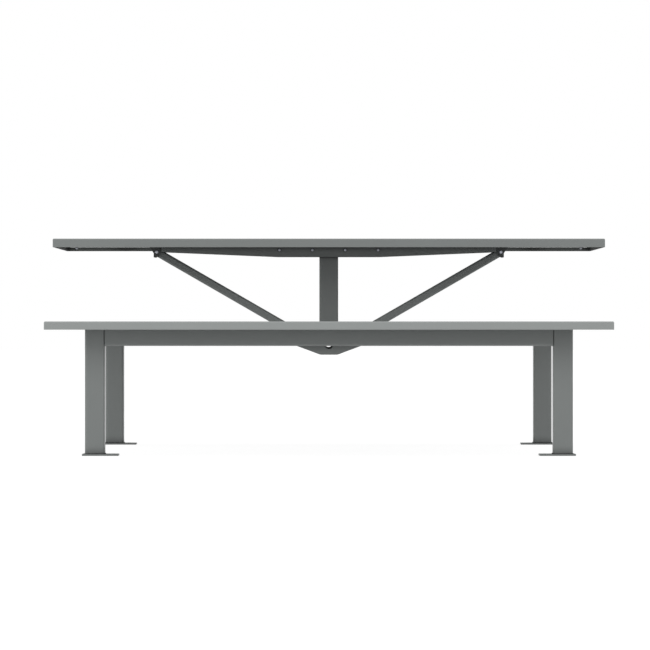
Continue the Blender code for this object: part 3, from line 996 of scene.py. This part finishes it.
class TABLE_OT_cross_tube(bpy.types.Operator):
    """Makes the tube from bench to bench and its end plates, with their welds"""

    bl_idname = "table.cross_tube"
    bl_label = "Cross tube"

    def execute(self, context):
        sizes = context.scene.table_sizes
        self.body(sizes)
        self.end_plates(sizes, context.scene.table_frame)
        return {"FINISHED"}

    def body(self, sizes):
        """The tube, welded to its end plates at the sides and the top: a bead below would stand out."""
        low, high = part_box("cross_tube")
        body = tube("cross_tube_body", low, high, Y, sizes)
        for end in ENDS:
            drill(body, STRUT_SHANK + HOLE_PLAY, middle_of(f"{end}_strut_foot_bolt"), X)
        dress_edges(body, sizes)
        bend = sizes.tube_corner
        welds = []
        for y in (low.y + sizes.weld / 2, high.y - sizes.weld / 2):
            for x in (low.x, high.x):
                welds.append(line_weld((x, y, low.z + bend), (x, y, high.z - bend), sizes.weld, sizes))
            welds.append(line_weld((low.x + bend, y, high.z), (high.x - bend, y, high.z), sizes.weld, sizes))
        place_coated(join("cross_tube_body", [body, *welds]), "cross_tube")

    def end_plates(self, sizes, cuts):
        low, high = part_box("front_end_plate")
        narrow = cuts.end_plate_foot / 2
        wide = high.x
        shoulder = low.z + (wide - narrow) * math.tan(cuts.end_plate_slope)
        outline = [
            (-narrow, low.y, low.z),
            (narrow, low.y, low.z),
            (wide, low.y, shoulder),
            (wide, low.y, high.z),
            (-wide, low.y, high.z),
            (-wide, low.y, shoulder),
        ]
        end_plate = plate("front_end_plate_cut", outline, (0, high.y - low.y, 0))
        round_corners(end_plate, Y, sizes.plate_corner)
        drill(end_plate, sizes.sight_hole, (0, low.y, middle_of("cross_tube").z), Y, WALL_REACH)
        for side in SIDES:
            drill(end_plate, JOINT_SHANK + HOLE_PLAY, middle_of(f"front_{side}_joint_bolt"), Y, PLATE_REACH)
        dress_edges(end_plate, sizes)
        rear = copy_of(end_plate, "rear_end_plate_cut", HALF_TURN)
        place_coated(end_plate, "front_end_plate", FAINT_SHADE)
        place_coated(rear, "rear_end_plate", FAINT_SHADE)


class TABLE_OT_struts(bpy.types.Operator):
    """Makes the slanting struts, the brackets at their heads and the plates at their feet"""

    bl_idname = "table.struts"
    bl_label = "Struts"

    def execute(self, context):
        sizes = context.scene.table_sizes
        bolt = middle_of("right_strut_bolt")
        # Painted shade all over the struts and their feet, and darker still on the brackets
        kinds = (
            (self.strut(sizes, bolt), "strut", STRUT_SHADE),
            (self.bracket(sizes, context.scene.table_frame, bolt), "strut_bracket", BRACKET_SHADE),
            (self.foot(sizes), "strut_foot", STRUT_SHADE),
        )
        for piece, kind, film in kinds:
            other = copy_of(piece, piece.name.replace("right", "left"), HALF_TURN)
            place_coated(piece, f"right_{kind}", OPEN_SHADE, film)
            place_coated(other, f"left_{kind}", OPEN_SHADE, film)
        return {"FINISHED"}

    def strut(self, sizes, bolt):
        """A flat tube through the bolt's place, cut off upright at both ends and level under the top."""
        low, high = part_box("right_strut")
        slope = math.tan(sizes.strut_angle)
        half = sizes.strut_depth / 2
        length = UNCUT_LENGTH * (high.x - low.x) / math.cos(sizes.strut_angle)
        strut = tube("right_strut_tube", (-length / 2, low.y, -half), (length / 2, high.y, half), X, sizes)
        middle = Vector(((low.x + high.x) / 2, 0, bolt.z + ((low.x + high.x) / 2 - bolt.x) * slope))
        strut.data.transform(Matrix.Translation(middle) @ Matrix.Rotation(-sizes.strut_angle, 4, "Y"))
        with Shaping(strut) as shape:
            shape.bisect((low.x, 0, 0), (-1, 0, 0))
            shape.bisect((high.x, 0, 0), (1, 0, 0))
            shape.bisect((0, 0, high.z), (0, 0, 1))
        drill(strut, STRUT_SHANK + HOLE_PLAY, bolt, Y)
        dress_edges(strut, sizes)
        foot_rise = half / math.cos(sizes.strut_angle)
        foot_middle = bolt.z + (low.x - bolt.x) * slope
        foot_low = (low.x, low.y, foot_middle - foot_rise)
        foot_high = (low.x, high.y, foot_middle + foot_rise)
        return join("right_strut_tube", [strut, ring_weld(foot_low, foot_high, X, sizes)])

    def bracket(self, sizes, cuts, bolt):
        """A plate folded over the strut's head, with a lip at its outer edge."""
        low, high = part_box("right_strut_bracket")
        half = sizes.strut_depth / 2
        axis = Vector((math.cos(sizes.strut_angle), 0, math.sin(sizes.strut_angle)))
        normal = Vector((-axis.z, 0, axis.x))
        grip = bolt - cuts.bracket_grip * axis
        upper = grip + half * normal
        lower = grip - half * normal
        outside = bolt.x + cuts.bracket_side
        lip = outside - cuts.bracket_lip
        lip_top = bolt.z + (lip - bolt.x) * math.tan(sizes.strut_angle) - half / math.cos(sizes.strut_angle)
        outline = [
            (low.x, low.y, high.z),
            (upper.x, low.y, upper.z),
            (lower.x, low.y, lower.z),
            (lip, low.y, lip_top),
            (lip + cuts.bracket_lip_taper, low.y, low.z),
            (outside, low.y, low.z),
            (outside, low.y, bolt.z - cuts.bracket_flare),
            (high.x, low.y, high.z),
        ]
        bracket = plate("right_strut_bracket_fold", outline, (0, high.y - low.y, 0))
        inner = high.y - sizes.bracket_wall
        slot_low = (low.x - CUT_CLEARANCE, -inner, low.z - CUT_CLEARANCE)
        slot_high = (high.x + CUT_CLEARANCE, inner, high.z - sizes.bracket_wall)
        take_out(bracket, block("slot", slot_low, slot_high))
        drill(bracket, STRUT_SHANK + HOLE_PLAY, bolt, Y)
        dress_edges(bracket, sizes)
        start = low.x + BRACKET_WELD_INSET
        end = high.x - BRACKET_WELD_INSET
        welds = [line_weld((start, y, high.z), (end, y, high.z), sizes.weld, sizes) for y in (low.y, high.y)]
        return join("right_strut_bracket_fold", [bracket, *welds])

    def foot(self, sizes):
        foot = flat_plate("right_strut_foot_plate", "right_strut_foot", X, sizes)
        for end in ENDS:
            drill(foot, STRUT_SHANK + HOLE_PLAY, middle_of(f"{end}_strut_foot_bolt"), X, SIDE_REACH)
        dress_edges(foot, sizes)
        return foot


class TABLE_OT_benches(bpy.types.Operator):
    """Makes the beams, legs, feet and seat supports of both benches"""

    bl_idname = "table.benches"
    bl_label = "Bench frames"

    def execute(self, context):
        sizes = context.scene.table_sizes
        self.beams(sizes)
        for corner in CORNERS:
            self.leg(corner, sizes)
            self.foot(corner, sizes)
        for corner in CORNERS:
            for kind in ("leg_cap", "saddle"):
                self.support(f"{corner}_{kind}", sizes)
        return {"FINISHED"}

    def beams(self, sizes):
        low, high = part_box("front_beam")
        beam = tube("front_beam_tube", low, high, X, sizes)
        for side in SIDES:
            node = f"front_{side}_joint_bolt"
            bolt = middle_of(node)
            drill(beam, JOINT_SHANK + HOLE_PLAY, (bolt.x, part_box(node)[1].y, bolt.z), Y, WALL_REACH)
        dress_edges(beam, sizes)
        front = low.y + sizes.tube_corner
        back = high.y - sizes.tube_corner
        welds = [
            line_weld((x, front, z), (x, back, z), sizes.sheet_weld, sizes)
            for x in (low.x, high.x)
            for z in (low.z, high.z)
        ]
        beam = join("front_beam_tube", [beam, *welds])
        rear = copy_of(beam, "rear_beam_tube", HALF_TURN)
        place_coated(beam, "front_beam", FAINT_SHADE)
        place_coated(rear, "rear_beam", FAINT_SHADE)

    def leg(self, corner, sizes):
        """A leg with a weld at each end, and painted shade near the ground, darkest at the lowest weld."""
        low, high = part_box(f"{corner}_leg")
        leg = tube(f"{corner}_leg_tube", low, high, Z, sizes)
        soften(leg, sizes.edge)
        shaded_up_to = low.z + sizes.splash
        with Shaping(leg) as shape:
            shape.ring((0, 0, shaded_up_to), (0, 0, 1))
        mark_edges(leg)
        welds = [ring_weld((low.x, low.y, z), (high.x, high.y, z), Z, sizes) for z in (low.z, high.z)]
        leg = place_coated(join(f"{corner}_leg_tube", [leg, *welds]), f"{corner}_leg", FAINT_SHADE)
        # Painted shade on the foot of the leg, near black at its lowest weld
        mark(leg, "dust", GROUND_SHADE, lambda face: face.center.z < shaded_up_to)
        mark(leg, "dust", DEEP_FOOT_SHADE, lambda face: face.center.z < low.z + sizes.weld)

    def foot(self, corner, sizes):
        """A foot plate, with its anchor hole at the end toward the middle of the table."""
        node = f"{corner}_foot_plate"
        low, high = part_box(node)
        foot = flat_plate(f"{node}_cut", node, Z, sizes)
        hole = low.x + sizes.anchor_edge if low.x > 0 else high.x - sizes.anchor_edge
        drill(foot, sizes.anchor_hole, (hole, (low.y + high.y) / 2, high.z), Z, PLATE_REACH)
        dress_edges(foot, sizes)
        place_coated(foot, node)

    def support(self, node, sizes):
        """A plate between the frame and the seat."""
        support = flat_plate(f"{node}_plate", node, Z, sizes)
        dress_edges(support, sizes)
        stitches = side_stitches(node, SUPPORT_STITCHES, sizes)
        place_coated(join(f"{node}_plate", [support, *stitches]), node)


class TABLE_OT_bolts(bpy.types.Operator):
    """Makes the bolts, studs and nuts"""

    bl_idname = "table.bolts"
    bl_label = "Fasteners"

    def execute(self, context):
        for node in sorted(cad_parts):
            low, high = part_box(node)
            wide, deep, tall = (end - start for start, end in zip(low, high))
            if node.endswith("strut_bolt"):
                bolt = self.through_bolt(wide, deep, STRUT_SHANK, STRUT_HEAD)
                turn = Matrix.Rotation(QUARTER, 4, "X")
            elif node.startswith("rib_bolt"):
                bolt = self.through_bolt(wide, deep, RIB_SHANK, RIB_HEAD, RIB_BOLT_SHADE)
                turn = Matrix.Rotation(QUARTER, 4, "X")
            elif node.endswith("strut_foot_bolt"):
                bolt = self.through_bolt(deep, wide, STRUT_SHANK, STRUT_HEAD)
                turn = Matrix.Rotation(QUARTER, 4, "Y")
            elif node.endswith("joint_bolt"):
                bolt = self.joint_bolt(wide, deep, JOINT_SHANK, JOINT_HEAD)
                turn = Matrix.Rotation(-QUARTER if low.y < 0 else QUARTER, 4, "X")
            elif node.endswith("rail_stud"):
                bolt = self.cap_nut(wide, tall, STUD_SHANK, STUD_HEAD)
                turn = Matrix.Rotation(math.pi, 4, "X")
            else:
                continue
            bolt.data.transform(Matrix.Translation((low + high) / 2) @ turn)
            bolt.name = f"{node}_set"
            bolt.data.name = bolt.name
            place(bolt, "stainless steel", "fasteners", node)
        return {"FINISHED"}

    def dome(self, name, diameter, low, high, share):
        """A low round head between two heights, with its upper edge rounded off."""
        piece = rod(name, diameter, (0, 0, low), (0, 0, high))
        with Shaping(piece) as shape:
            shape.pick("EDGE", lambda edge: all(v.co.z > high - SAME_HEIGHT for v in edge.verts))
            bpy.ops.mesh.bevel(offset=(high - low) * share, segments=DOME_STEPS, affect="EDGES")
        return piece

    def washer(self, diameter, low, high):
        """A flat washer, rougher than the rest of its bolt and darkened with painted shade."""
        piece = rod("washer", diameter, (0, 0, low), (0, 0, high))
        soften(piece, WASHER_EDGE)
        mark(piece, "dull", 1.0)
        return piece

    def hexagon(self, width, low, high):
        """A six-sided nut or head of this width across its corners, with its edges softened."""
        piece = rod("hexagon", width, (0, 0, low), (0, 0, high), HEX_SIDES)
        soften(piece, HEX_EDGE)
        return piece

    def button(self, diameter, low, high):
        """A domed head with a six-sided socket."""
        head = self.dome("button", diameter, low, high, BUTTON_ROUND)
        bottom = (0, 0, high - SOCKET_DEPTH * (high - low))
        take_out(head, rod("key", SOCKET_WIDTH * diameter, bottom, (0, 0, high + CUT_CLEARANCE), HEX_SIDES))
        soften(head, SOCKET_EDGE)
        return head

    def through_bolt(self, width, length, shank, height, dull=0.0):
        """Along Z: a button head on a washer at the upper end, a nut on a washer at the lower end."""
        face = length / 2 - height
        washer = BOLT_WASHER * height
        head = self.button(BUTTON_WIDTH * width, face + washer, length / 2)
        nut = self.hexagon(NUT_WIDTH * width, -length / 2 + THREAD_END * height, -face - washer)
        tip = self.dome("tip", shank, face, length / 2, TIP_ROUND)
        tip.data.transform(Matrix.Rotation(math.pi, 4, "X"))
        # The head, nut and tip carry the bolt's share of painted shade
        for piece in (head, nut, tip):
            mark(piece, "dull", dull)
        body = rod("shank", shank, (0, 0, -face), (0, 0, face))
        washers = [self.washer(width, face, face + washer), self.washer(width, -face - washer, -face)]
        return join("bolt", [body, head, nut, tip, *washers])

    def joint_bolt(self, width, length, shank, height):
        """Along Z: a six-sided head on a washer at the upper end."""
        face = length / 2 - height
        washer = JOINT_WASHER * height
        head = self.hexagon(HEX_HEAD_WIDTH * width, face + washer, length / 2)
        body = rod("shank", shank, (0, 0, -length / 2), (0, 0, face))
        return join("bolt", [body, head, self.washer(width, face, face + washer)])

    def cap_nut(self, width, length, shank, height):
        """Along Z: a domed nut on a washer at the upper end of a stud."""
        face = length / 2 - height
        washer = STUD_WASHER * height
        nut = self.hexagon(CAP_NUT_WIDTH * width, face + washer, face + CAP_NUT_TOP * height)
        cap = self.dome("cap", CAP_WIDTH * width, face + CAP_FOOT * height, length / 2, CAP_ROUND)
        # Painted shade on the nut and cap under the top
        for piece in (nut, cap):
            mark(piece, "dull", STUD_SHADE)
        body = rod("shank", shank, (0, 0, -length / 2), (0, 0, face))
        return join("stud", [body, nut, cap, self.washer(width, face, face + washer)])


def white_to_camera(finish):
    """1 for the rays that show the background to the camera, straight, in a reflection or through glass."""
    path = "ShaderNodeLightPath"
    seen = finish.add(path, output="Is Camera Ray")
    for kind in ("Is Glossy Ray", "Is Transmission Ray"):
        also = finish.add(path, output=kind)
        seen = finish.add("ShaderNodeMath", {"operation": "MAXIMUM"}, {0: seen, 1: also})
    return seen


class TABLE_OT_stage(bpy.types.Operator):
    """Makes the floor, the light and the camera"""

    bl_idname = "table.stage"
    bl_label = "Stage"

    def execute(self, context):
        look = context.scene.table_studio
        self.floor(look)
        self.sky(context.scene, look)
        self.lamp("key lamp", look.key_power, *KEY_LAMP)
        self.lamp("side lamp", look.side_power, *SIDE_LAMP)
        self.camera(context.scene, look)
        context.scene.view_settings.view_transform = "Standard"
        return {"FINISHED"}

    def floor(self, look):
        clear_selection()
        bpy.ops.mesh.primitive_plane_add(size=FLOOR_SIZE, location=(0.0, 0.0, -FLOOR_DROP))
        floor = named("floor")
        finish, shader = new_finish("pale floor")
        colour = (*look.floor, 1.0)
        finish.feed(shader, {"Base Color": colour, "Roughness": FLOOR_ROUGHNESS, "Specular IOR Level": 0.0})
        white = finish.add("ShaderNodeEmission", {}, {"Color": WHITE, "Strength": look.floor_glow})
        share = white_to_camera(finish) * look.floor_white
        surface = Shade(finish, shader.outputs[0])
        shown = finish.add("ShaderNodeMixShader", {}, {0: share, 1: surface, 2: white})
        finish.feed(finish.tree.nodes["Material Output"], {"Surface": shown})
        floor.data.materials.append(bpy.data.materials["pale floor"])

    def sky(self, scene, look):
        scene.world = bpy.data.worlds.new("studio")
        scene.world.use_nodes = True
        finish = Finish(scene.world.node_tree)
        light = finish.add("ShaderNodeBackground", {}, {"Color": WHITE, "Strength": look.sky})
        white = finish.add("ShaderNodeBackground", {}, {"Color": WHITE, "Strength": 1.0})
        shown = finish.add("ShaderNodeMixShader", {}, {0: white_to_camera(finish), 1: light, 2: white})
        finish.feed(finish.tree.nodes["World Output"], {"Surface": shown})

    def lamp(self, name, power, size, location):
        clear_selection()
        bpy.ops.object.light_add(type="AREA", location=location)
        lamp = named(name)
        lamp.data.shape = "RECTANGLE"
        lamp.data.size, lamp.data.size_y = size
        lamp.data.energy = power
        lamp.rotation_euler = (Vector(LAMP_TARGET) - Vector(location)).to_track_quat("-Z", "Y").to_euler()
        lamp.visible_camera = False

    def camera(self, scene, look):
        clear_selection()
        bpy.ops.object.camera_add(location=look.camera_place, rotation=(QUARTER, 0.0, 0.0))
        camera = named("camera")
        camera.data.sensor_width = SENSOR_WIDTH
        camera.data.lens = look.focal_length
        camera.data.clip_end = FAR_CLIP
        scene.camera = camera


STEPS = (
    TABLE_OT_finishes,
    TABLE_OT_pans,
    TABLE_OT_rail,
    TABLE_OT_ribs,
    TABLE_OT_post,
    TABLE_OT_cross_tube,
    TABLE_OT_struts,
    TABLE_OT_benches,
    TABLE_OT_bolts,
    TABLE_OT_stage,
)
GROUPS = {
    "table_sizes": TableSizes,
    "table_frame": TableFrame,
    "table_finish": TableFinish,
    "table_studio": StudioLook,
}


class TABLE_PT_sidebar(bpy.types.Panel):
    """Lists the sizes, the finishes and the steps"""

    bl_idname = "TABLE_PT_sidebar"
    bl_label = "Table with benches"
    bl_space_type = "VIEW_3D"
    bl_region_type = "UI"
    bl_category = "Table"

    def draw(self, context):
        for group in (getattr(context.scene, name) for name in GROUPS):
            box = self.layout.box()
            for name in group.__annotations__:
                box.prop(group, name)
        for step in STEPS:
            self.layout.operator(step.bl_idname)


def register():
    for group in GROUPS.values():
        bpy.utils.register_class(group)
    for name, group in GROUPS.items():
        setattr(bpy.types.Scene, name, bpy.props.PointerProperty(type=group))
    for step in (*STEPS, TABLE_PT_sidebar):
        bpy.utils.register_class(step)


def unregister():
    for step in reversed((*STEPS, TABLE_PT_sidebar)):
        bpy.utils.unregister_class(step)
    for name, group in GROUPS.items():
        delattr(bpy.types.Scene, name)
        bpy.utils.unregister_class(group)


def main():
    register()
    for step in STEPS:
        group, name = step.bl_idname.split(".")
        getattr(getattr(bpy.ops, group), name)()


if __name__ == "__main__":
    main()
